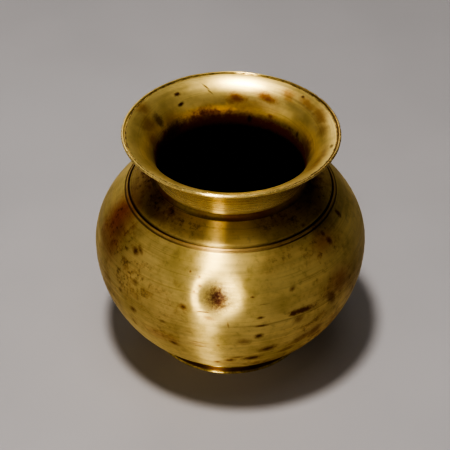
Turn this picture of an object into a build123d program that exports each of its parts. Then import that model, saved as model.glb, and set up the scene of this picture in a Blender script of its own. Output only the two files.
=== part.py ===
from build123d import *
import math
import os

# A round-bellied brass water pot with a wide flared mouth, beaten from sheet and brazed together.
# Millimetres, +Z up. The origin is on the surface the pot stands on, under the middle of its foot.
# Every piece is turned: its section is drawn as (radius, height) and revolved about Z.

# Body: two half ovals that share the widest circle
BELLY_R = 75.0  # widest radius
BELLY_Z = 63.9  # height of the widest circle, where the two body shells meet
SHOULDER_H = 54.5  # height of the upper half oval
BOWL_H = 71.6  # height of the lower half oval, cut off by the flat bottom
WALL = 1.6  # thickness of the body sheet
BASE_Z = 3.0  # underside of the flat bottom
BASE_CORNER_R = 2.5  # bend between the wall of the bowl and its bottom

# Belly joint: the bowl's edge is thinned to a tongue that laps inside the shoulder
LAP = 4.0  # how far the tongue rises past the widest circle
SEAM_W = 0.8  # width of the brazed line
SEAM_D = 0.5  # depth of the brazed line

# Neck and mouth
THROAT_R = 39.8  # bore of the waist
THROAT_Z = 112.5  # height of the waist
FLARE_R = 23.75  # radius of the flare's curve, inside
FLARE_TURN = 72.5  # angle that the flare turns through, from upright
NECK_WALL = 1.7  # thickness of the collar
SPIGOT_Z = 104.0  # lower end of the collar, inside the body
LIP_R = 58.0  # outside radius of the lip
LIP_Z = 135.6  # height of the flat turned on the lip, which is the top of the pot
LIP_LAND = 1.0  # width of that flat
LIP_CORNER = 0.45  # size of the lip's broken corners

# Turned lines on the shoulder: a deep one, a bead, and a finer one
GROOVES = ((55.4, 0.65), (57.3, 0.45))  # (radius of the circle, radius of the cutter)

# Foot
FOOT_R = 45.2  # outside radius of the foot's lower bead
FOOT_IN = 42.0  # bore of the foot
COVE_R = 44.1  # smallest outside radius of the foot
FOOT_WALL_R = 44.5  # outside radius of the foot between its beads and the bowl
FOOT_TOP_R = 44.9  # outside radius of the foot's upper bead
FOOT_BEAD = 1.3  # height of the lower bead
COVE_TOP = 4.3  # height of the top of the cove
FOOT_BEAD_TOP = 5.7  # height of the top of the upper bead

# Brazing
FILLET = 2.0  # reach of the fillet around the neck
FOOT_FILLET = 0.9  # reach of the fine fillet around the outside of the foot
FOOT_ROOT = 1.8  # reach of the heavier fillet inside the foot
FILLET_SAG = 0.25  # how hollow a fillet's face is, as a share of its reach

# Dent in the front of the shoulder
DENT_TURN = -4.2  # degrees round from the front, -Y
DENT_Z = 80.3  # height of the middle of the dent
DENT_DEPTH = 2.4  # depth below the round shoulder
DENT_R = 70.0  # radius of the dish
DENT_EDGE_R = 6.0  # softening of the dent's edge


def revolved(section):
    """Turn a (radius, height) section about Z."""
    return revolve(Plane.XZ * section, Axis.Z)


def band(low, high):
    """Everything between two heights, from the axis out past the belly."""
    width = 2 * BELLY_R
    return Pos(width / 2, (low + high) / 2) * Rectangle(width, high - low)


def oval(height, inset):
    """The half of an oval beside the axis, set in from the body's surface."""
    whole = Pos(0, BELLY_Z) * Ellipse(BELLY_R - inset, height - inset)
    return whole & band(BELLY_Z - 2 * height, BELLY_Z + 2 * height)


def oval_z(radius, height, inset=0.0):
    """How far the half oval stands from the widest circle at a radius."""
    return (height - inset) * math.sqrt(1 - (radius / (BELLY_R - inset)) ** 2)


def upper(inset):
    """The body above its widest circle."""
    return oval(SHOULDER_H, inset) & band(BELLY_Z, BELLY_Z + SHOULDER_H)


def lower(inset, bottom):
    """The body below its widest circle, down to a flat bottom."""
    return oval(BOWL_H, inset) & band(bottom, BELLY_Z)


def seam_groove():
    """The vee that is cut along the belly joint for the spelter."""
    return make_face(
        Polyline(
            (BELLY_R - SEAM_D, BELLY_Z),
            (BELLY_R + SEAM_D, BELLY_Z - SEAM_W),
            (BELLY_R + SEAM_D, BELLY_Z + SEAM_W),
            close=True,
        )
    )


def tongue():
    """The inner half of the wall, where the bowl laps inside the shoulder."""
    return (upper(WALL / 2) - upper(WALL)) & band(BELLY_Z, BELLY_Z + LAP)


def spelter(upright, lean, root):
    """A run of spelter in a corner, with a hollow face from upright to lean."""
    hollow = [(a + b) / 2 + (r - (a + b) / 2) * FILLET_SAG for a, b, r in zip(upright, lean, root)]
    face = ThreePointArc(upright, tuple(hollow), lean)
    return make_face(Curve() + [face, Line(lean, root), Line(root, upright)])


def dent_centre():
    """The centre of the ball that would press the dent, outside the shoulder."""
    height = DENT_Z - BELLY_Z
    radius = BELLY_R * math.sqrt(1 - (height / SHOULDER_H) ** 2)
    normal = Vector(radius / BELLY_R**2, 0, height / SHOULDER_H**2).normalized()
    ball = Vector(radius, 0, DENT_Z) + normal * (DENT_R - DENT_DEPTH)
    return ball.rotate(Axis.Z, DENT_TURN - 90)


def neck_collar():
    """Flared mouth, waisted neck and the spigot that drops through the shoulder."""
    turn = math.radians(FLARE_TURN)
    centre_r = THROAT_R + FLARE_R
    outer_r = FLARE_R - NECK_WALL
    crease = (centre_r - FLARE_R * math.cos(turn), THROAT_Z + FLARE_R * math.sin(turn))
    under = (centre_r - outer_r * math.cos(turn), THROAT_Z + outer_r * math.sin(turn))
    half = turn / 2
    inner_mid = (centre_r - FLARE_R * math.cos(half), THROAT_Z + FLARE_R * math.sin(half))
    outer_mid = (centre_r - outer_r * math.cos(half), THROAT_Z + outer_r * math.sin(half))
    neck_r = THROAT_R + NECK_WALL
    edges = Curve() + [
        Line((THROAT_R, SPIGOT_Z), (THROAT_R, THROAT_Z)),
        ThreePointArc((THROAT_R, THROAT_Z), inner_mid, crease),
        Polyline(
            crease,
            (LIP_R - LIP_CORNER - LIP_LAND, LIP_Z),
            (LIP_R - LIP_CORNER, LIP_Z),
            (LIP_R, LIP_Z - LIP_CORNER),
            (LIP_R, LIP_Z - 2 * LIP_CORNER),
            under,
        ),
        ThreePointArc(under, outer_mid, (neck_r, THROAT_Z)),
        Line((neck_r, THROAT_Z), (neck_r, SPIGOT_Z)),
        Line((neck_r, SPIGOT_Z), (THROAT_R, SPIGOT_Z)),
    ]
    return revolved(make_face(edges))


def shoulder_shell():
    """Upper half of the body, with its hole, its turned lines and its dent."""
    section = upper(0) - upper(WALL) - tongue() - seam_groove()
    hole_r = THROAT_R + NECK_WALL
    section -= Pos(hole_r / 2, BELLY_Z + SHOULDER_H) * Rectangle(hole_r, SHOULDER_H)
    for radius, cutter in GROOVES:
        section -= Pos(radius, BELLY_Z + oval_z(radius, SHOULDER_H)) * Circle(cutter)
    shell = revolved(section)
    ball = Pos(*dent_centre())
    bump = (ball * Sphere(DENT_R + WALL)) & revolved(upper(WALL))
    dish = ball * Sphere(DENT_R)
    backed = shell + bump
    dented = backed - dish
    return fillet(new_edges(backed, dish, combined=dented), DENT_EDGE_R)


def bowl_shell():
    """Lower half of the body, with its flat bottom and the tongue of the belly joint."""
    section = lower(0, BASE_Z) - lower(WALL, BASE_Z + WALL) - seam_groove()
    knuckle = [v for v in section.vertices() if abs(v.Y - BASE_Z) < 0.01 and v.X > 1]
    section = fillet(knuckle, BASE_CORNER_R)
    return revolved(section + tongue())


def foot_ring():
    """Low turned ring under the bowl: a bead, a cove and a finer bead."""
    top = BELLY_Z - oval_z(FOOT_R, BOWL_H) + 1
    bead_mid = FOOT_BEAD / 2
    upper_mid = (COVE_TOP + FOOT_BEAD_TOP) / 2
    cove_mid = (FOOT_BEAD + COVE_TOP) / 2
    wall = FOOT_WALL_R
    outline = Curve() + [
        Line((FOOT_IN, 0), (wall, 0)),
        ThreePointArc((wall, 0), (FOOT_R, bead_mid), (wall, FOOT_BEAD)),
        ThreePointArc((wall, FOOT_BEAD), (COVE_R, cove_mid), (wall, COVE_TOP)),
        ThreePointArc((wall, COVE_TOP), (FOOT_TOP_R, upper_mid), (wall, FOOT_BEAD_TOP)),
        Line((wall, FOOT_BEAD_TOP), (wall, top)),
        Line((wall, top), (FOOT_IN, top)),
        Line((FOOT_IN, top), (FOOT_IN, 0)),
    ]
    return revolved(make_face(outline) - lower(0, BASE_Z))


def neck_braze():
    """Fillets of spelter around the collar, above and below the shoulder."""
    neck_r = THROAT_R + NECK_WALL
    lean_r = neck_r + FILLET
    root = (neck_r, BELLY_Z + oval_z(neck_r, SHOULDER_H, WALL / 2))
    above = spelter(
        (neck_r, BELLY_Z + oval_z(neck_r, SHOULDER_H) + FILLET),
        (lean_r, BELLY_Z + oval_z(lean_r, SHOULDER_H)),
        root,
    )
    below = spelter(
        (neck_r, BELLY_Z + oval_z(neck_r, SHOULDER_H, WALL) - FILLET),
        (lean_r, BELLY_Z + oval_z(lean_r, SHOULDER_H, WALL)),
        root,
    )
    return [revolved(above - upper(0)), revolved(below & upper(WALL))]


def belly_braze():
    """The line of spelter in the vee of the belly joint, turned flush with the body."""
    return [revolved(seam_groove() & (upper(0) + lower(0, BASE_Z)))]


def foot_braze():
    """Fillets of spelter under the bowl: a shallow one outside the foot and a full one inside it."""
    fillets = []
    for foot_r, reach, drop in (
        (FOOT_WALL_R, FOOT_FILLET, FOOT_FILLET / 2),
        (FOOT_IN, -FOOT_ROOT, FOOT_ROOT),
    ):
        lean_r = foot_r + reach
        under = BELLY_Z - oval_z(foot_r, BOWL_H)
        upright = (foot_r, under - drop)
        lean = (lean_r, BELLY_Z - oval_z(lean_r, BOWL_H))
        run = spelter(upright, lean, (foot_r, under))
        fillets.append(revolved(run - lower(0, BASE_Z)))
    return fillets


PIECES = {
    "neck_collar": [neck_collar()],
    "shoulder_shell": [shoulder_shell()],
    "bowl_shell": [bowl_shell()],
    "foot_ring": [foot_ring()],
    "neck_braze": neck_braze(),
    "belly_braze": belly_braze(),
    "foot_braze": foot_braze(),
}

os.makedirs("parts", exist_ok=True)
for name, solids in PIECES.items():
    print(name, [(piece.is_valid, round(piece.volume, 1)) for piece in solids])
    export_step(Compound(children=solids), f"parts/{name}.step")
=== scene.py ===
import math

import bmesh
import bpy
import numpy as np
from mathutils import Matrix, Vector


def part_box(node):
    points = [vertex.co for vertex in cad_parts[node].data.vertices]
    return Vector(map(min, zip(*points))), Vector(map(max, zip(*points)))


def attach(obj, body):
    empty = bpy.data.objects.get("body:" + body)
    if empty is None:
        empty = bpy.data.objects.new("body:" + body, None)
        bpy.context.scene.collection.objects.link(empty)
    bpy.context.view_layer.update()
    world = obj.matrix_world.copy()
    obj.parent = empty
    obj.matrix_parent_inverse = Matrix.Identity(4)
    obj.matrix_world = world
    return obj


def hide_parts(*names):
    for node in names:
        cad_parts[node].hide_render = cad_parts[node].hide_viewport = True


# A brass water pot on a pale floor. Every piece is turned about Z in mesh code, from sections in
# millimetres, (radius, height). A turn is in degrees from the front, -Y, towards +X.

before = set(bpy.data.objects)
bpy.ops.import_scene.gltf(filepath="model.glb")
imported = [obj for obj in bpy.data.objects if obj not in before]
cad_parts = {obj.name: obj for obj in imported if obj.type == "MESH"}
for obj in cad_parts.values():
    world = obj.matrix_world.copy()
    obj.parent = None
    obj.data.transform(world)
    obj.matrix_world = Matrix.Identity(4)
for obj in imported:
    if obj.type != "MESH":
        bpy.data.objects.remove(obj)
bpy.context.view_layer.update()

MM = 0.001

# ---------------------------------------------------------------- sizes taken from the frame
belly_low, belly_high = (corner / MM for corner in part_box("belly_braze"))
collar_low, collar_high = (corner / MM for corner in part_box("neck_collar"))
bowl_low, bowl_high = (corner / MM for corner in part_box("bowl_shell"))
foot_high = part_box("foot_ring")[1] / MM

BELLY_R = belly_high.x  # widest radius
BELLY_Z = (belly_low.z + belly_high.z) / 2  # height of the widest circle
LIP_R = collar_high.x
LIP_Z = collar_high.z
SPIGOT_Z = collar_low.z  # lower end of the collar, inside the body
BASE_Z = bowl_low.z  # underside of the flat bottom
FOOT_R = foot_high.x
FOOT_TOP = foot_high.z
LAP_TOP = bowl_high.z  # top of the bowl's tongue, inside the shoulder

# ---------------------------------------------------------------- the turned shape, as in the CAD
SHOULDER_H = 54.5  # height of the upper half oval
BOWL_H = 71.6  # height of the lower half oval
WALL = 1.6  # thickness of the body sheet
NECK_WALL = 1.7  # thickness of the collar
THROAT_R = 39.8  # bore of the waist
THROAT_Z = 112.5  # height of the waist
FLARE_R = 23.75  # radius of the flare's curve, inside
FLARE_TURN = 72.5  # angle that the outside of the flare turns through, from upright
FLARE_INNER_TURN = 71.3  # the same inside, as far as the fine line that is turned by the lip
NECK_R = THROAT_R + NECK_WALL
LIP_LINE_R = LIP_R - 1.5  # radius at which the fine line gives way to the lip
KNUCKLE_R = 39.4  # where the wall of the bowl would meet its bottom
KNUCKLE = 3.0  # how far the bend between them reaches over the bottom
FOOT_IN = 42.0  # bore of the foot
FOOT_WALL = 44.5  # outside radius of the foot between its beads and the bowl
GROOVES = ((55.4, 1.0, 0.7), (57.3, 0.75, 0.42))  # (radius of the circle, half width, depth)
SEAM = 0.35  # half the width that shows of the brazed line around the belly
SEAM_DIP = 0.006  # how far the edges of that line dip under the body's surface
SHY = 0.002  # how far the edges of the shells stop short of the belly

DENT_TURN = -4.2
DENT_Z = 80.3
DENT_R = 17.5
DENT_DEPTH = 2.0

BODY_SEGMENTS = 480
COLLAR_SEGMENTS = 960


def oval(radius, height, inset=0.0):
    """How far a half oval stands above or below the belly at a radius."""
    share = np.clip(np.asarray(radius) / (BELLY_R - inset), 0.0, 1.0)
    return (height - inset) * np.sqrt(1.0 - share**2)


def oval_run(height, inset, start_r, end_r, count, side):
    """Points along a half oval between two radii, evenly spaced in angle."""
    start, end = (math.acos(min(1.0, r / (BELLY_R - inset))) for r in (start_r, end_r))
    turn = np.linspace(start, end, count)
    radius = (BELLY_R - inset) * np.cos(turn)
    return np.column_stack([radius, BELLY_Z + side * (height - inset) * np.sin(turn)])


def arc(centre, radius, start, end, count):
    """Points along an arc, with angles in degrees."""
    turn = np.radians(np.linspace(start, end, count))
    return np.column_stack([centre[0] + radius * np.cos(turn), centre[1] + radius * np.sin(turn)])


def run(start, end, count):
    """Points along a straight run."""
    return np.linspace(start, end, count)


def eased(corners, rounds=2):
    """An open line with its corners cut, so that it turns smoothly."""
    points = np.asarray(corners, float)
    for _ in range(rounds):
        near = 0.75 * points[:-1] + 0.25 * points[1:]
        far = 0.25 * points[:-1] + 0.75 * points[1:]
        inner = np.stack([near, far], 1).reshape(-1, 2)
        points = np.vstack([points[:1], inner[1:-1], points[-1:]])
    return points


def on_body(turn, height):
    """The point of the round body at a turn and a height, and its outward direction."""
    side = SHOULDER_H if height > BELLY_Z else BOWL_H
    rise = height - BELLY_Z
    radius = BELLY_R * math.sqrt(1 - (rise / side) ** 2)
    out = Vector((0, -radius / BELLY_R**2, rise / side**2)).normalized()
    swing = Matrix.Rotation(math.radians(turn), 3, "Z")
    return swing @ Vector((0, -radius, height)), swing @ out


def on_flare(turn, height):
    """The point of the flare's inside at a turn and a height, and the direction out of the metal."""
    rise = height - THROAT_Z
    reach = math.sqrt(FLARE_R**2 - max(rise, 0.0) ** 2)
    swing = Matrix.Rotation(math.radians(turn), 3, "Z")
    out = Vector((0, reach, max(rise, 0.0))).normalized()
    return swing @ Vector((0, -(THROAT_R + FLARE_R - reach), height)), swing @ out


# ---------------------------------------------------------------- handmade shape, always inwards
CORE_R = 10.0  # nearer the axis than this, sheet is moved in proportion to its radius
BEATING = 0.16  # mean depth of the beaten unevenness
# (weight, waves round the pot, radians in each WAVE_RISE up it, phase)
BEATEN_WAVES = (
    (1.0, 2, 0.0, 0.6), (0.6, 3, 1.1, 1.9), (0.4, 7, -1.7, 0.0),
    (0.28, 11, 2.6, 2.2), (0.18, 17, -4.0, 0.8), (0.10, 23, 5.5, 1.4),
)
WAVE_RISE = 20
# (turn, half width in degrees, depth)
NICKS = (
    (124, 1.6, 0.5), (-48, 1.0, 0.3), (-43, 0.8, 0.22), (-38, 1.2, 0.3), (-33, 0.7, 0.2),
    (-28, 1.1, 0.28), (-24, 0.7, 0.2), (-55, 1.3, 0.25), (64, 0.9, 0.3), (48, 1.2, 0.25),
    (22, 0.8, 0.18), (-163, 1.4, 0.3), (178, 0.9, 0.2), (93, 1.5, 0.2), (-96, 1.8, 0.3),
    (-120, 1.0, 0.2), (150, 0.8, 0.2),
)


def dented(points):
    """Press the dent into points near it, straight inwards."""
    middle, out = on_body(DENT_TURN, DENT_Z)
    away = points - np.array(middle)
    along = away @ np.array(out)
    across = np.linalg.norm(away - np.outer(along, out), axis=1)
    near = np.abs(along) < 3 * DENT_DEPTH + WALL
    share = np.where(near, np.clip(across / DENT_R, 0, 1), 1.0)
    press = (1 - share**2) ** 3
    return points - np.outer(press * DENT_DEPTH, out)


def sunk(points, waves, depth):
    """Move points towards the axis by up to twice a depth, where waves runs from -1 to 1."""
    radius = np.maximum(np.hypot(points[:, 0], points[:, 1]), CORE_R)
    scale = 1 - depth * (1 + waves) / radius
    return points * np.column_stack([scale, scale, np.ones(len(points))])


def around(points):
    """Turns of points, in radians."""
    return np.arctan2(points[:, 0], -points[:, 1])


def beaten(points):
    """Slow unevenness of sheet beaten over a stake."""
    turn = around(points)
    height = points[:, 2] / WAVE_RISE
    waves = sum(part * np.sin(lobes * turn + rise * height + lag) for part, lobes, rise, lag in BEATEN_WAVES)
    return sunk(points, waves / sum(wave[0] for wave in BEATEN_WAVES), BEATING)


def out_of_round(points):
    """The mouth pushed a little out of round and its lip worn uneven; the neck stays true."""
    turn = around(points)
    share = np.clip((points[:, 2] - THROAT_Z) / (LIP_Z - THROAT_Z), 0, 1) ** 2
    moved = sunk(points, np.sin(2 * turn + 1.3) * 0.7 + np.sin(5 * turn) * 0.3, 0.3)
    points = points + (moved - points) * share[:, None]
    drop = 0.16 * (1 + np.sin(3 * turn + 0.5)) + 0.05 * (1 + np.sin(13 * turn + 2.0))
    return points - np.column_stack([np.zeros((len(points), 2)), drop * share])


def nicked(points):
    """Small knocks along the edge of the lip."""
    turn = np.degrees(around(points))
    radius = np.hypot(points[:, 0], points[:, 1])
    edge = np.clip((radius - LIP_R + 1.6) / 1.6, 0, 1) * np.clip((points[:, 2] - LIP_Z + 2.4) / 1.2, 0, 1)
    depth = np.zeros(len(points))
    for place, half, deep in NICKS:
        away = (turn - place + 180) % 360 - 180
        depth = np.maximum(depth, deep * np.clip(1 - (away / half) ** 2, 0, 1))
    scale = 1 - depth * edge / radius
    return points * np.column_stack([scale, scale, np.ones(len(points))])


def weld_axis(mesh):
    """Join the points that fall together where an outline meets the axis."""
    cells = bmesh.new()
    cells.from_mesh(mesh)
    bmesh.ops.remove_doubles(cells, verts=cells.verts, dist=1e-7)
    cells.to_mesh(mesh)
    cells.free()


def turned(name, outline, outside_from, shape, segments):
    """
    A mesh turned about Z from a closed outline that runs up the inside and down the outside.
    Rows from outside_from on take the piece's first material, and the rest its second.
    """
    outline = np.asarray(outline, float)
    turns = np.linspace(0, 2 * math.pi, segments, endpoint=False)
    points = np.empty((segments, len(outline), 3))
    points[..., 0] = np.outer(np.sin(turns), outline[:, 0])
    points[..., 1] = np.outer(-np.cos(turns), outline[:, 0])
    points[..., 2] = outline[:, 1]
    points = shape(points.reshape(-1, 3)) * MM
    count = len(outline)
    ring = np.arange(segments)[:, None] * count
    following = np.roll(np.arange(segments), -1)[:, None] * count
    here = np.arange(count)[None, :]
    there = np.roll(np.arange(count), -1)[None, :]
    quads = np.stack([ring + here, ring + there, following + there, following + here], -1)
    mesh = bpy.data.meshes.new(name)
    mesh.from_pydata(points.tolist(), [], quads.reshape(-1, 4).tolist())
    slots = np.tile((np.arange(count) < outside_from).astype(np.int32), segments)
    mesh.polygons.foreach_set("material_index", slots)
    weld_axis(mesh)
    mesh.shade_smooth()
    mesh.set_sharp_from_angle(angle=math.radians(50))
    piece = bpy.data.objects.new(name, mesh)
    bpy.context.scene.collection.objects.link(piece)
    return piece


# ---------------------------------------------------------------- materials
BRASS = (0.82, 0.60, 0.205)
PALE = (0.78, 0.57, 0.21)
OLIVE = (0.42, 0.285, 0.055)
AMBER = (0.40, 0.135, 0.02)
COPPER = (0.11, 0.026, 0.010)
OXIDE = (0.07, 0.022, 0.007)
BROWN = (0.27, 0.089, 0.022)
RUST = (0.40, 0.10, 0.03)
BEAD = (0.50, 0.24, 0.10)
# near black: soot and tarnish together with painted shade of the unlit inside
SOOT_AND_SHADE = (0.004, 0.003, 0.002)
PATINA = 0.80  # how metallic the brass is under its film of oxide


def shade(colour, share):
    """A colour made darker or lighter."""
    return tuple(share * part for part in colour)


class Net:
    """Short words for wiring one material. Lengths in it are millimetres."""

    def __init__(self, name):
        self.material = bpy.data.materials.new(name)
        self.material.use_nodes = True
        self.tree = self.material.node_tree
        self.shader = self.tree.nodes["Principled BSDF"]
        coordinates = self.node("TexCoord", {}, "Object")
        self.place = self.node("VectorMath", {0: coordinates, "Scale": 1 / MM}, operation="SCALE")
        parts = self.node("SeparateXYZ", {0: self.place}, None)
        self.height = parts.outputs[2]
        flat = self.node("CombineXYZ", {0: parts.outputs[0], 1: parts.outputs[1]})
        self.radius = self.node("VectorMath", {0: flat}, 1, operation="LENGTH")
        self.outward = self.node("VectorMath", {0: flat}, operation="NORMALIZE")

    def node(self, kind, inputs, output=0, **settings):
        """Add a node, set or link its inputs, and give back one output, or the node itself."""
        made = self.tree.nodes.new("ShaderNode" + kind)
        for key, value in settings.items():
            setattr(made, key, value)
        for key, value in inputs.items():
            self.feed(made.inputs[key], value)
        return made if output is None else made.outputs[output]

    def feed(self, socket, value):
        """Link an output to a socket, or set its value."""
        if isinstance(value, bpy.types.NodeSocket):
            self.tree.links.new(value, socket)
        elif socket.type == "RGBA":
            socket.default_value = (*value, 1)
        else:
            socket.default_value = value

    def math(self, operation, *values):
        """Work out a number from others."""
        return self.node("Math", dict(enumerate(values)), operation=operation)

    def noise(self, size, detail=3.0, rough=0.5, where=None, w=0.0):
        """Noise from 0 to 1, with lumps of a size in millimetres. Each w gives its own pattern."""
        inputs = {"Vector": where or self.place, "W": w, "Scale": 1 / size, "Detail": detail}
        inputs["Roughness"] = rough
        return self.node("TexNoise", inputs, noise_dimensions="4D")

    def ramp(self, value, low, high, out_low=0.0, out_high=1.0):
        """Ease a value from out_low at low to out_high at high."""
        inputs = {0: value, 1: low, 2: high, 3: out_low, 4: out_high}
        return self.node("MapRange", inputs, interpolation_type="SMOOTHSTEP")

    def mix(self, share, first, second):
        """Blend two colours."""
        return self.node("Mix", {0: share, 6: first, 7: second}, 2, data_type="RGBA")

    def streaks(self, pitch, length):
        """Noise drawn out along the lathe's lines: pitch across them, length along them."""
        along = self.node("VectorMath", {0: self.outward, "Scale": 60 / length}, operation="SCALE")
        up = self.node("CombineXYZ", {2: self.math("DIVIDE", self.height, pitch)})
        where = self.node("VectorMath", {0: along, 1: up}, operation="ADD")
        return self.noise(1.0, 2.0, where=where, w=self.math("DIVIDE", self.radius, pitch))

    def spots(self, marks, surface, ragged=0.8, soft=0.9, thick=4.0, lump=1.3):
        """
        Where any of some marks lies, from 0 to 1. A mark is (turn, height, width, length, lean,
        strength): its middle on the surface, its size round the pot and up it, how many degrees
        it leans from level, and how dark it is.
        """
        lumps = self.noise(lump, 4.0, 0.65, w=7.0)
        fray = self.math("MULTIPLY_ADD", lumps, 2 * ragged, -ragged)
        total = 0.0
        for turn, height, width, length, lean, strength in marks:
            middle, out = surface(turn, height)
            level = Vector((-out.y, out.x, 0)).normalized()
            axes = Matrix((level, out.cross(level), out)).transposed()
            axes = axes @ Matrix.Rotation(math.radians(lean), 3, "Z")
            inputs = {
                "Vector": self.place,
                "Location": middle,
                "Rotation": axes.to_euler(),
                "Scale": (width / 2, length / 2, thick),
            }
            local = self.node("Mapping", inputs, vector_type="TEXTURE")
            away = self.node("VectorMath", {0: local}, 1, operation="LENGTH")
            edge = self.math("ADD", away, fray)
            mark = self.ramp(edge, 1 + soft, 1 - soft, 0.0, strength)
            total = self.math("MAXIMUM", total, mark)
        return total

    def bump(self, height, depth, before=None):
        """Raise the surface by up to a depth in millimetres."""
        inputs = {"Height": height, "Distance": depth * MM, "Strength": 1.0}
        if before is not None:
            inputs["Normal"] = before
        return self.node("Bump", inputs)

    def finish(self, colour, roughness, normal, metallic=1.0, brushed=0.0, coat=0.0):
        """Wire the shader."""
        values = {
            "Base Color": colour,
            "Roughness": roughness,
            "Normal": normal,
            "Metallic": metallic,
            "Coat Weight": coat,
            "Coat Roughness": 0.2,
        }
        if brushed:
            values["Anisotropic"] = brushed
            values["Anisotropic Rotation"] = 0.25
            values["Tangent"] = self.node("Tangent", {}, direction_type="RADIAL", axis="Z")
        for key, value in values.items():
            self.feed(self.shader.inputs[key], value)
        return self.material


# Marks on the body: dark spots, red-brown bruises and broad amber stains
DARK_MARKS = (
    (-47.5, 89, 3, 4, 60, 0.85), (-45.5, 90.5, 2, 4, 60, 0.7), (-42.5, 75.5, 3, 3, 0, 0.55),
    (-43.5, 56.5, 4, 3, 20, 0.7), (-45, 45, 2, 5, 30, 0.5), (-28, 59, 3, 2, 0, 0.5),
    (-19, 73, 3.6, 2.6, -20, 0.85), (-8, 68.5, 5, 2, -10, 0.5), (-24, 43, 4.5, 3.5, -20, 0.8),
    (-14.5, 47.5, 7, 2, 0, 0.35), (-13.5, 49.5, 5, 1, 0, 0.5), (-12.5, 46, 6, 1, 0, 0.5),
    (-0.5, 65, 0.8, 3, 10, 0.6), (-4.5, 48.5, 1.6, 1.6, 0, 0.5), (-5.5, 29, 3, 3, 0, 0.9),
    (0.5, 32.5, 5, 3.5, 25, 0.85), (3.5, 36, 6, 2.2, 10, 0.6), (10.5, 34, 8.5, 4.5, 8, 0.95),
    (16.5, 42.5, 8, 4, 12, 0.85), (12, 55.5, 3.8, 2.8, 10, 0.9), (6, 52, 6, 4, 0, 0.5),
    (12.5, 68.5, 3, 1.4, 0, 0.8), (13, 63, 5.5, 1.2, 0, 0.8), (9.5, 80.5, 1.6, 1, 0, 0.8),
    (27, 80.5, 3.2, 2, 20, 0.7), (29, 61, 5, 4, 15, 0.55), (-18, 90.5, 1, 1.2, 0, 0.7),
    (-13, 85, 1.6, 1.2, 0, 0.6), (-15, 82, 1.2, 1, 0, 0.6), (-13.5, 89, 1.2, 1, 0, 0.6),
    (-51, 64, 2, 2.4, 0, 0.5), (45, 102, 2.4, 1.6, 0, 0.7), (-64, 83, 3, 3, 0, 0.5),
)
DENT_MARK = ((-5, 79.5, 10.5, 13, 4, 1.0),)
RUST_MARKS = (
    (-70, 93, 18, 28, 10, 0.9), (-64, 83, 12, 16, 0, 0.6), (50, 93, 12, 9, 0, 0.5),
    (52, 72, 14, 12, 0, 0.5), (-30, 46, 16, 6, 0, 0.3),
)
RED_MARKS = (
    (30.5, 66.5, 14, 3.2, -4, 0.9), (26.5, 66.5, 4.5, 3.4, 0, 0.9),
    (54, 92, 3.4, 4.4, 25, 0.85), (53, 95.5, 2, 2, 0, 0.6), (46, 64.5, 5, 10, 30, 0.6),
    (39.5, 44, 9, 8, 30, 0.6), (71, 96, 3, 5, 0, 0.8), (26.5, 36, 10, 4, 10, 0.5),
    (-64, 90, 6, 9, 20, 0.4), (33, 43, 12, 6, 20, 0.5), (-51, 104, 16, 5, 0, 0.4),
)
AMBER_MARKS = (
    (-66, 91, 24, 28, 15, 1.0), (-70, 96, 14, 16, 15, 0.9), (-52, 82, 34, 34, 0, 0.5),
    (-36, 70, 40, 22, 0, 0.35),
    (50, 93, 26, 18, 10, 0.6), (30, 96, 26, 12, 10, 0.35), (40, 48, 34, 22, 10, 0.5),
    (-28, 50, 30, 20, 0, 0.3), (45, 70, 30, 30, 0, 0.35), (-60, 60, 20, 30, 0, 0.35),
    (26, 24, 54, 12, 6, 0.75), (48, 36, 30, 26, 10, 0.65), (62, 60, 16, 34, 0, 0.5),
)
SCRATCHES = ((-10.5, 72, 7, 0.5, 0, 1.0), (-11, 49, 7, 0.4, 3, 0.6), (14, 76, 6, 0.4, 0, 0.4))


def turned_lines(net, above, side):
    """Where the dark lines on the shoulder are, and the reddish bead between them."""
    lines = 0.0
    for circle, half_width, depth in GROOVES:
        away = net.math("ABSOLUTE", net.math("SUBTRACT", net.radius, circle - 0.12))
        line = net.ramp(away, 0.8 * half_width, 0.3 * half_width, 0.0, min(1.0, depth + 0.3))
        lines = net.math("MAXIMUM", lines, line)
    # painted shade: the same side mask makes the lines darker at the sides than at the front and back
    lines = net.math("MULTIPLY", lines, net.math("MULTIPLY", above, net.ramp(side, 0.25, 1.0, 0.6, 1.0)))
    bead = net.math("ABSOLUTE", net.math("SUBTRACT", net.radius, GROOVES[0][0] + 0.9))
    return lines, net.math("MULTIPLY", above, net.ramp(bead, 0.9, 0.3, 0.0, 0.4))


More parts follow.
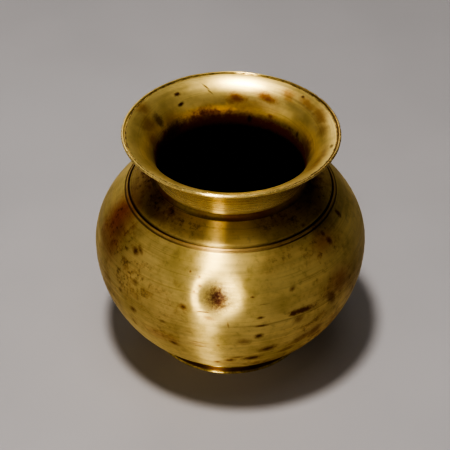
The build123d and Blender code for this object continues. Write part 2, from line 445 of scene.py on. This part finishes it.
def body_brass():
    """Beaten brass, turned and polished level, with a patina, stains, dark turned lines, and painted shade
    in the band inside them.
    """
    net = Net("beaten_brass")
    fine = net.streaks(0.40, 10)
    hair = net.streaks(0.65, 40)
    broad = net.streaks(2.6, 26)
    cloud = net.noise(24, 3, 0.55, w=1)
    grain = net.noise(3.4, 4, 0.62, w=2)
    dust = net.noise(0.9, 3, 0.6, w=15)
    scratch = net.spots(SCRATCHES, on_body, 0.3, 0.5, 1.5)
    dark = net.math("MAXIMUM", net.spots(DARK_MARKS, on_body, 0.8, 1.0), scratch)
    red = net.spots(RED_MARKS, on_body, 0.8, 0.6)
    bruise = net.spots(DENT_MARK, on_body, 0.7, 0.7, 5.0)
    rust = net.spots(RUST_MARKS, on_body, 0.5, 1.0, 14, 8)
    amber = net.spots(AMBER_MARKS, on_body, 0.7, 0.9, 14, 6)
    mottle = net.ramp(net.math("MULTIPLY_ADD", grain, 0.3, cloud), 0.52, 0.85)
    patch = net.ramp(net.math("MULTIPLY_ADD", grain, 0.6, net.noise(9, 3, 0.6, w=16)), 0.72, 1.0)
    speck = net.ramp(net.math("MULTIPLY_ADD", dust, 0.6, grain), 0.84, 0.98, 0.0, 0.9)

    # the band inside the turned lines: real stains, with painted shade darker towards the neck under the
    # flare and at the sides
    above = net.ramp(net.height, BELLY_Z + 20, BELLY_Z + 24)
    stain_and_shade_band = net.math("MULTIPLY", above, net.ramp(net.radius, GROOVES[0][0] + 0.4, GROOVES[0][0] - 2.0))
    # painted shade: the band and its colour grow darker towards the neck, under the flare
    inner = net.ramp(net.radius, GROOVES[0][0] - 1.4, NECK_R + 2.5, 0.4, 1.0)
    stain_and_shade_band = net.math("MULTIPLY", stain_and_shade_band, inner)
    stain = net.mix(inner, shade(AMBER, 0.55), shade(COPPER, 2.0))
    # painted shade: the band is darker at the sides of the pot than at its front and back
    side = net.math("ABSOLUTE", net.node("SeparateXYZ", {0: net.outward}, 0))
    side = net.ramp(side, 0.10, 0.75, 0.25, 1.0)
    stain_and_shade_band = net.math("MULTIPLY", net.math("MULTIPLY", stain_and_shade_band, side), net.ramp(patch, 0.0, 1.0, 0.6, 1.0))
    lines, bead = turned_lines(net, above, side)

    colour = net.mix(net.ramp(broad, 0.25, 0.8), BRASS, shade(BRASS, 0.84))
    colour = net.mix(net.ramp(hair, 0.56, 0.76, 0.0, 0.4), colour, OLIVE)
    colour = net.mix(net.math("MULTIPLY", mottle, 0.6), colour, OLIVE)
    warm = net.math("MULTIPLY", amber, net.ramp(patch, 0.0, 0.8, 0.35, 1.0))
    colour = net.mix(warm, colour, AMBER)
    colour = net.mix(rust, colour, RUST)
    colour = net.mix(net.math("MULTIPLY", stain_and_shade_band, 0.9), colour, stain)
    colour = net.mix(bead, colour, BEAD)
    worn = net.math("MAXIMUM", net.math("MAXIMUM", warm, stain_and_shade_band), 0.12)
    colour = net.mix(net.math("MULTIPLY", speck, worn), colour, OXIDE)
    colour = net.mix(red, colour, BROWN)
    colour = net.mix(net.ramp(red, 0.50, 1.0, 0.0, 0.3), colour, COPPER)
    colour = net.mix(dark, colour, BROWN)
    colour = net.mix(net.ramp(dark, 0.45, 1.0, 0.0, 0.6), colour, OXIDE)
    colour = net.mix(lines, colour, OXIDE)
    colour = net.mix(bruise, colour, shade(COPPER, 0.85))
    dirt = net.math("MAXIMUM", net.math("MAXIMUM", dark, red), net.math("MAXIMUM", bruise, lines))
    tarnish = net.math("MAXIMUM", dirt, net.math("MULTIPLY", net.math("MAXIMUM", warm, stain_and_shade_band), 0.6))
    rough = net.ramp(hair, 0.30, 0.70, 0.33, 0.50)
    roughness = net.math("MULTIPLY_ADD", tarnish, 0.26, rough)
    normal = net.bump(fine, 0.012)
    normal = net.bump(hair, 0.010, normal)
    normal = net.bump(grain, 0.014, normal)
    return net.finish(colour, roughness, normal, PATINA, brushed=1.0, coat=0.04)


def tarnished_shaded_inside():
    """The inside: tarnished, and near black as painted shade of the unlit inside."""
    net = Net("tarnished_shaded_inside")
    grain = net.noise(5, 4, 0.6, w=3)
    colour = net.mix(net.ramp(grain, 0.4, 0.8), SOOT_AND_SHADE, shade(SOOT_AND_SHADE, 2.2))
    net.feed(net.shader.inputs["Specular IOR Level"], 0.15)
    return net.finish(colour, 0.9, net.bump(grain, 0.15), 0.0)


def edge_wear(net, colour, roughness, grain):
    """Rub a lip's edge bright, with a fine dark line turned just inside it."""
    after = net.ramp(net.radius, LIP_LINE_R - 1.5, LIP_LINE_R - 1.0)
    line = net.math("MULTIPLY", after, net.ramp(net.radius, LIP_LINE_R, LIP_LINE_R - 0.4))
    line = net.math("MULTIPLY", line, net.ramp(net.height, LIP_Z - 2.0, LIP_Z - 1.6))
    line = net.math("MULTIPLY", line, net.ramp(grain, 0.40, 0.62, 0.15, 0.85))
    beyond = net.ramp(net.radius, LIP_LINE_R, LIP_LINE_R + 0.4)
    edge = net.math("MULTIPLY", beyond, net.ramp(net.height, LIP_Z - 1.6, LIP_Z - 0.7))
    edge = net.math("MULTIPLY", edge, net.ramp(grain, 0.60, 0.42, 0.25, 1.0))
    colour = net.mix(net.math("MULTIPLY", edge, 0.8), net.mix(line, colour, OXIDE), PALE)
    return colour, net.math("MAXIMUM", roughness, net.math("MULTIPLY", edge, 0.45))


def collar_brass():
    """Turned brass of the neck and lip, with painted shade on the neck's right side and where it meets the
    shoulder.
    """
    net = Net("turned_brass")
    fine = net.streaks(0.4, 12)
    hair = net.streaks(0.65, 45)
    grain = net.noise(2.6, 4, 0.62, w=4)
    cloud = net.noise(17, 3, 0.55, w=5)
    colour = net.mix(net.ramp(cloud, 0.35, 0.75, 0.0, 0.5), BRASS, OLIVE)
    colour = net.mix(net.ramp(hair, 0.54, 0.74, 0.0, 0.5), colour, OLIVE)
    # dirt and painted shade: the neck darkens towards the shoulder, in the corner under the flare
    root = net.math("MULTIPLY_ADD", grain, 3, net.height)
    root = net.ramp(root, THROAT_Z + 2.0, THROAT_Z - 1.5, 0.0, 0.85)
    # painted shade and reflection, with some red patina: the neck's right side is made darker maroon
    right = net.ramp(net.node("SeparateXYZ", {0: net.outward}, 0), 0.25, 0.9, 0.0, 0.65)
    colour = net.mix(right, colour, shade(AMBER, 0.5))
    colour = net.mix(root, colour, shade(AMBER, 0.35))
    rough = net.ramp(hair, 0.30, 0.70, 0.20, 0.32)
    colour, roughness = edge_wear(net, colour, net.math("MULTIPLY_ADD", root, 0.2, rough), grain)
    normal = net.bump(hair, 0.012, net.bump(fine, 0.012))
    return net.finish(colour, roughness, normal, PATINA, brushed=1.0, coat=0.10)


FLARE_DARK = (
    (-126, 117.5, 16, 8, 10, 0.85), (-108, 115.5, 18, 6, 0, 0.85), (-142.5, 131.5, 4, 2.4, 0, 1.0),
    (-142, 127.5, 4, 2, 10, 1.0), (165.5, 116, 3, 4, 0, 0.9),
    (132, 133.5, 2.2, 1.6, 0, 0.9), (-163, 131.5, 0.8, 5, 40, 0.8), (-165, 129.5, 0.8, 4, 40, 0.7),
    (118.5, 119, 2, 3, 0, 0.8), (-118, 126.5, 5, 8, 0, 0.8), (77, 134, 3, 2, 0, 0.6),
)
FLARE_AMBER = (
    (75, 119, 20, 9, 0, 0.9), (97, 119.5, 18, 8, 0, 0.9),
    (176.5, 126, 11, 6, 0, 1.0), (154, 128, 12, 5, -10, 1.0), (141, 132, 9, 6, -10, 0.7),
    (126, 132.5, 14, 5, -8, 0.75), (111, 132.5, 13, 6, -5, 0.75), (98, 131, 12, 6, 0, 0.55),
    (-115, 133.5, 8, 7, 0, 0.7), (-108, 129, 12, 10, 0, 0.65), (-100, 122, 9, 12, 0, 0.7),
    (165, 124, 30, 7, 0, 0.4), (64, 132, 20, 5, 0, 0.6), (-130, 123, 12, 8, 0, 0.5),
)


def mouth_brass():
    """Inside of the flare: polished above, stained below, and near black at the throat, partly soot and
    partly painted shade.
    """
    net = Net("mouth_brass")
    fine = net.streaks(0.5, 14)
    hair = net.streaks(0.7, 50)
    grain = net.noise(2.2, 4, 0.65, w=6)
    cloud = net.noise(11, 3, 0.6, w=8)
    uneven = net.math("MULTIPLY_ADD", cloud, 18, net.math("MULTIPLY_ADD", grain, 8, -13))
    level = net.math("ADD", net.height, uneven)
    colour = net.mix(net.ramp(cloud, 0.4, 0.7, 0.0, 0.4), BRASS, OLIVE)
    colour = net.mix(net.ramp(hair, 0.56, 0.76, 0.0, 0.5), colour, OLIVE)
    amber = net.spots(FLARE_AMBER, on_flare, 1.0, 0.9, 6, 4.0)
    dark = net.spots(FLARE_DARK, on_flare, 0.7, 0.6)
    stain = net.ramp(level, THROAT_Z + 12.5, THROAT_Z + 2.5, 0.0, 0.95)
    burnt = net.ramp(level, THROAT_Z + 8.5, THROAT_Z + 2.5)
    # soot and painted shade: near black at and below the throat, where the unlit inside begins
    black = net.math("MULTIPLY_ADD", grain, 4, net.height)
    black = net.ramp(black, THROAT_Z + 2.9, THROAT_Z + 0.3)
    speck = net.ramp(net.noise(0.9, 3, 0.6, w=17), 0.66, 0.76, 0.0, 0.6)
    stained = net.math("MAXIMUM", amber, stain)
    colour = net.mix(stained, colour, shade(AMBER, 0.65))
    colour = net.mix(net.math("MULTIPLY", speck, stained), colour, OXIDE)
    colour = net.mix(burnt, colour, shade(COPPER, 2.2))
    colour = net.mix(dark, colour, OXIDE)
    colour = net.mix(black, colour, SOOT_AND_SHADE)
    dirt = net.math("MAXIMUM", net.math("MAXIMUM", dark, burnt), black)
    tarnish = net.math("MAXIMUM", dirt, net.math("MULTIPLY", amber, 0.5))
    rough = net.math("MULTIPLY_ADD", tarnish, 0.25, net.ramp(hair, 0.25, 0.75, 0.30, 0.42))
    colour, roughness = edge_wear(net, colour, rough, grain)
    normal = net.bump(fine, 0.008)
    normal = net.bump(grain, 0.03, normal)
    metallic = net.ramp(black, 0.0, 1.0, PATINA, 0.0)
    return net.finish(colour, roughness, normal, metallic, brushed=0.2, coat=0.06)


def foot_brass():
    """Turned brass of the foot, browned in its hollows."""
    net = Net("foot_brass")
    fine = net.streaks(0.4, 12)
    grain = net.noise(2.6, 4, 0.62, w=9)
    colour = net.mix(net.ramp(grain, 0.35, 0.7), BRASS, OLIVE)
    hollow = net.ramp(net.radius, FOOT_WALL + 0.3, FOOT_WALL - 0.15, 0.0, 0.9)
    colour = net.mix(hollow, colour, shade(AMBER, 0.5))
    roughness = net.math("MULTIPLY_ADD", hollow, 0.2, 0.34)
    return net.finish(colour, roughness, net.bump(fine, 0.012), 1.0, brushed=1.0, coat=0.2)


def spelter_brown():
    """Spelter in the corners, dull and oxidised."""
    net = Net("spelter")
    grain = net.noise(2.0, 4, 0.65, w=10)
    cloud = net.noise(20, 2, 0.5, w=11)
    colour = net.mix(net.ramp(cloud, 0.35, 0.65), shade(AMBER, 0.45), shade(OLIVE, 0.6))
    colour = net.mix(net.ramp(grain, 0.45, 0.75, 0.0, 0.6), colour, OXIDE)
    return net.finish(colour, 0.6, net.bump(grain, 0.15), 0.7)


# ---------------------------------------------------------------- pieces
def groove_cut(points):
    """Cut the turned lines into a run of points along the shoulder."""
    out = np.column_stack([points[:, 0] / BELLY_R**2, (points[:, 1] - BELLY_Z) / SHOULDER_H**2])
    out /= np.linalg.norm(out, axis=1)[:, None]
    sink = np.zeros(len(points))
    for circle, half_width, depth in GROOVES:
        middle = np.array([circle, BELLY_Z + oval(circle, SHOULDER_H)])
        away = np.clip(np.linalg.norm(points - middle, axis=1) / half_width, 0, 1)
        sink += depth * (1 - away**2) ** 2
    return points - out * sink[:, None]


def body_shape(points):
    """The body as it was beaten and knocked."""
    return dented(beaten(points))


def true_shape(points):
    """Turned true on the lathe."""
    return points


def inner_r(height):
    """Radius of the inside of the upper half of the body at a height."""
    return (BELLY_R - WALL) * math.sqrt(1 - ((height - BELLY_Z) / (SHOULDER_H - WALL)) ** 2)


def shoulder():
    """Upper half of the body, with its hole, turned lines and dent."""
    beside = 1.8  # how far the close rows reach past the turned lines
    edges = (NECK_R, GROOVES[0][0] - beside, GROOVES[1][0] + beside, BELLY_R - SHY)
    counts = (24, 80, 100)
    runs = [oval_run(SHOULDER_H, 0, a, b, n, 1) for a, b, n in zip(edges, edges[1:], counts)]
    outside = groove_cut(np.vstack([runs[0], runs[1][1:], runs[2][1:]]))
    lap = BELLY_R - WALL / 2
    tongue = [(lap + 0.02, BELLY_Z), (lap - 0.16, LAP_TOP)]
    inside = oval_run(SHOULDER_H, WALL, inner_r(LAP_TOP) - SHY, NECK_R, 60, 1)
    outline = np.vstack([tongue, inside, outside])
    return turned("shoulder", outline, len(tongue) + len(inside) - 1, body_shape, BODY_SEGMENTS)


def bowl():
    """Lower half of the body, with its flat bottom."""
    flat_r = KNUCKLE_R - KNUCKLE
    outside = oval_run(BOWL_H, 0, BELLY_R - SHY, KNUCKLE_R + 1.0, 120, -1)
    knuckle = eased([outside[-1], (KNUCKLE_R, BASE_Z), (flat_r, BASE_Z)])[1:-1]
    bottom = run((flat_r, BASE_Z), (0.0, BASE_Z), 14)
    floor_inside = run((0.0, BASE_Z + WALL), (flat_r, BASE_Z + WALL), 14)
    inside = oval_run(BOWL_H, WALL, KNUCKLE_R - 1.2, BELLY_R - WALL - SHY, 60, -1)
    lap = BELLY_R - WALL / 2 - 0.02
    tongue = [
        (inner_r(BELLY_Z + 2), BELLY_Z + 2), (inner_r(LAP_TOP), LAP_TOP - 0.02),
        (lap - 0.2, LAP_TOP - 0.02), (lap, BELLY_Z),
    ]
    outline = np.vstack([floor_inside, inside, tongue, outside, knuckle, bottom])
    dark_rows = len(floor_inside) + len(inside) + len(tongue) - 1
    return turned("bowl", outline, dark_rows, body_shape, BODY_SEGMENTS)


def by_lip(*steps):
    """Points by the lip, each given as (inwards from its edge, down from its top)."""
    return [(LIP_R - inward, LIP_Z - down) for inward, down in steps]


def collar():
    """Flared mouth, neck and spigot, with a rounded lip inside which a fine line is turned."""
    centre = (THROAT_R + FLARE_R, THROAT_Z)
    flare = arc(centre, FLARE_R, 180, 180 - FLARE_INNER_TURN, 70)
    under = arc(centre, FLARE_R - NECK_WALL, 180 - FLARE_TURN, 180, 60)
    line = by_lip((1.95, 0.62), (1.8, 0.8), (1.6, 0.78), (1.5, 0.55), (1.38, 0.3))
    lip = by_lip((1.2, 0.1), (0.7, 0), (0.25, 0.1), (0, 0.5), (0.05, 1.1), (0.4, 1.5))
    lip = eased([line[-1], *lip, under[0]], 3)
    line = eased([flare[-1], *line])
    spigot = run((THROAT_R, SPIGOT_Z), (THROAT_R, THROAT_Z - 0.4), 8)
    neck = run((NECK_R, THROAT_Z - 0.4), (NECK_R, SPIGOT_Z), 10)
    outline = np.vstack([spigot, flare, line[1:], lip[1:], under[1:], neck])
    inside = len(spigot) + len(flare)
    return turned("collar", outline, inside, lambda points: nicked(out_of_round(points)), COLLAR_SEGMENTS)


def foot():
    """Low turned foot: a bead, a cove and a finer bead."""
    outside = eased([
        (FOOT_WALL, 6.2), (FOOT_WALL, 5.75), (44.92, 5.4), (44.92, 4.7), (44.4, 4.25), (44.15, 3.4),
        (44.1, 2.7), (44.3, 1.7), (44.9, 1.25), (FOOT_R, 0.8), (FOOT_R, 0.3), (44.8, 0.0),
    ], 3)
    outline = np.vstack([run((FOOT_IN, 0), (FOOT_IN, FOOT_TOP - 1.7), 5), outside])
    return turned("foot", outline, 0, true_shape, BODY_SEGMENTS)


def fillet(upright, lean, root, count=9):
    """A spelter fillet's section: a hollow face from upright to lean, and the corner behind it."""
    upright, lean, root = (np.array(point) for point in (upright, lean, root))
    share = np.linspace(0, 1, count)[:, None]
    straight = upright * (1 - share) + lean * share
    hollow = straight + (root - (upright + lean) / 2) * 0.5 * (1 - (2 * share - 1) ** 2)
    return np.vstack([hollow, root])


def neck_seam(name, inset, rise):
    """Fillet of spelter between the neck and the shoulder: above it, or with a fall, under it."""
    top, out = (BELLY_Z + float(oval(NECK_R + step, SHOULDER_H, inset)) for step in (0, abs(rise)))
    section = fillet((NECK_R, top + rise), (NECK_R + abs(rise), out - 0.03), (NECK_R, top - 0.15 * rise))
    return turned(name, section if rise > 0 else section[::-1], 0, true_shape, BODY_SEGMENTS)


def foot_seam(name, foot_r, reach, drop):
    """Fillet of spelter between the foot and the bowl."""
    under, out = (BELLY_Z - float(oval(foot_r + step, BOWL_H)) for step in (0, reach))
    section = fillet((foot_r, under - drop), (foot_r + reach, out + 0.1), (foot_r, under + 0.3))
    return turned(name, section if reach < 0 else section[::-1], 0, true_shape, BODY_SEGMENTS)


def belly_seam():
    """The brazed line around the belly, turned flush with it."""
    root_r, edge_r, crown = BELLY_R - 0.5, BELLY_R - SEAM_DIP, 0.1
    section = [
        (root_r, BELLY_Z), (edge_r, BELLY_Z + SEAM), (BELLY_R, BELLY_Z + crown),
        (BELLY_R, BELLY_Z - crown), (edge_r, BELLY_Z - SEAM),
    ]
    return turned("belly_seam", section, 0, body_shape, BODY_SEGMENTS)


BODY, INSIDE, COLLAR, MOUTH = body_brass(), tarnished_shaded_inside(), collar_brass(), mouth_brass()
FOOT, SPELTER = foot_brass(), spelter_brown()

for piece, node, slot, materials in (
    (shoulder(), "shoulder_shell", "beaten_brass", (BODY, INSIDE)),
    (bowl(), "bowl_shell", "beaten_brass", (BODY, INSIDE)),
    (collar(), "neck_collar", "turned_brass", (COLLAR, MOUTH)),
    (foot(), "foot_ring", "turned_brass", (FOOT,)),
    (neck_seam("neck_seam", 0, 2.0), "neck_braze", "spelter", (SPELTER,)),
    (neck_seam("neck_seam_inside", WALL, -2.0), "neck_braze", "spelter", (SPELTER,)),
    (foot_seam("foot_seam", FOOT_WALL, 0.9, 0.45), "foot_braze", "spelter", (SPELTER,)),
    (foot_seam("foot_seam_inside", FOOT_IN, -1.8, 1.8), "foot_braze", "spelter", (SPELTER,)),
    (belly_seam(), "belly_braze", "spelter", (BODY,)),
):
    for material in materials:
        piece.data.materials.append(material)
    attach(piece, "root")
    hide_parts(node)

# ---------------------------------------------------------------- stage, light and camera
scene = bpy.context.scene
FLOOR_SIZE = 40.0
bpy.ops.mesh.primitive_plane_add(size=FLOOR_SIZE, location=(0, 0, 0))
floor = bpy.context.object
floor.name = "floor"


def paper():
    """Pale grey paper, very slightly uneven."""
    net = Net("floor_paper")
    fibre = net.noise(3, 4, 0.7, w=13)
    cloud = net.noise(90, 2, 0.5, w=14)
    pale = (0.43, 0.400, 0.390)
    colour = net.mix(net.ramp(cloud, 0.3, 0.7), pale, shade(pale, 0.96))
    return net.finish(colour, 0.85, net.bump(fibre, 0.03), 0.0)


floor.data.materials.append(paper())


def lamp(name, place, aim, power, width, height=None):
    """An area lamp, round or, with a height, oblong."""
    light = bpy.data.lights.new(name, "AREA")
    light.shape = "RECTANGLE" if height else "DISK"
    light.size = width
    if height:
        light.size_y = height
    light.energy = power
    made = bpy.data.objects.new(name, light)
    made.location = place
    made.rotation_euler = (Vector(aim) - Vector(place)).to_track_quat("-Z", "Y").to_euler()
    scene.collection.objects.link(made)


# name, place, aim, watts, and width and height in metres
lamp("key", (-0.12, -0.111, 1.113), (0, 0, 0), 8.2, 0.16)
lamp("overhead", (0.22, -0.20, 1.50), (0, 0, 0.06), 1.4, 0.6)
lamp("strip", (-0.40, -1.44, 0.13), (0, 0, 0.07), 6.3, 0.36, 0.14)
lamp("front", (-0.15, -1.49, 0.22), (0, 0, 0.07), 1.5, 1.60, 0.26)
lamp("left", (-1.25, -0.66, 0.55), (0, 0, 0.07), 1.9, 1.4, 0.6)
lamp("right", (1.20, -0.64, 0.70), (0, 0, 0.07), 0.5, 1.2, 0.6)
lamp("back", (-0.25, 1.25, 0.85), (0, 0, 0.06), 1.9, 0.9, 0.6)

world = bpy.data.worlds.new("studio")
scene.world = world
world.use_nodes = True
background = world.node_tree.nodes["Background"]
background.inputs["Color"].default_value = (1.0, 0.85, 0.7, 1)
background.inputs["Strength"].default_value = 0.02
scene.view_settings.view_transform = "AgX"
scene.view_settings.look = "AgX - Very High Contrast"

# the camera as fitted to the photo: lens and sensor in millimetres, the rest in metres
DISTANCE = 0.76311
ELEVATION = math.radians(38.77)
ORBIT_Z = 0.07078  # height that the distance is measured from
AIM = Vector((-0.00297, 0, 0.07114))
LENS = 109.92
SENSOR = 36.0
ROLL = math.radians(0.40)

camera_data = bpy.data.cameras.new("camera")
camera_data.sensor_width = SENSOR
camera_data.lens = LENS
camera = bpy.data.objects.new("camera", camera_data)
camera.location = (0, -DISTANCE * math.cos(ELEVATION), ORBIT_Z + DISTANCE * math.sin(ELEVATION))
camera.rotation_euler = (AIM - camera.location).to_track_quat("-Z", "Y").to_euler()
camera.rotation_euler.rotate_axis("Z", ROLL)
scene.collection.objects.link(camera)
scene.camera = camera
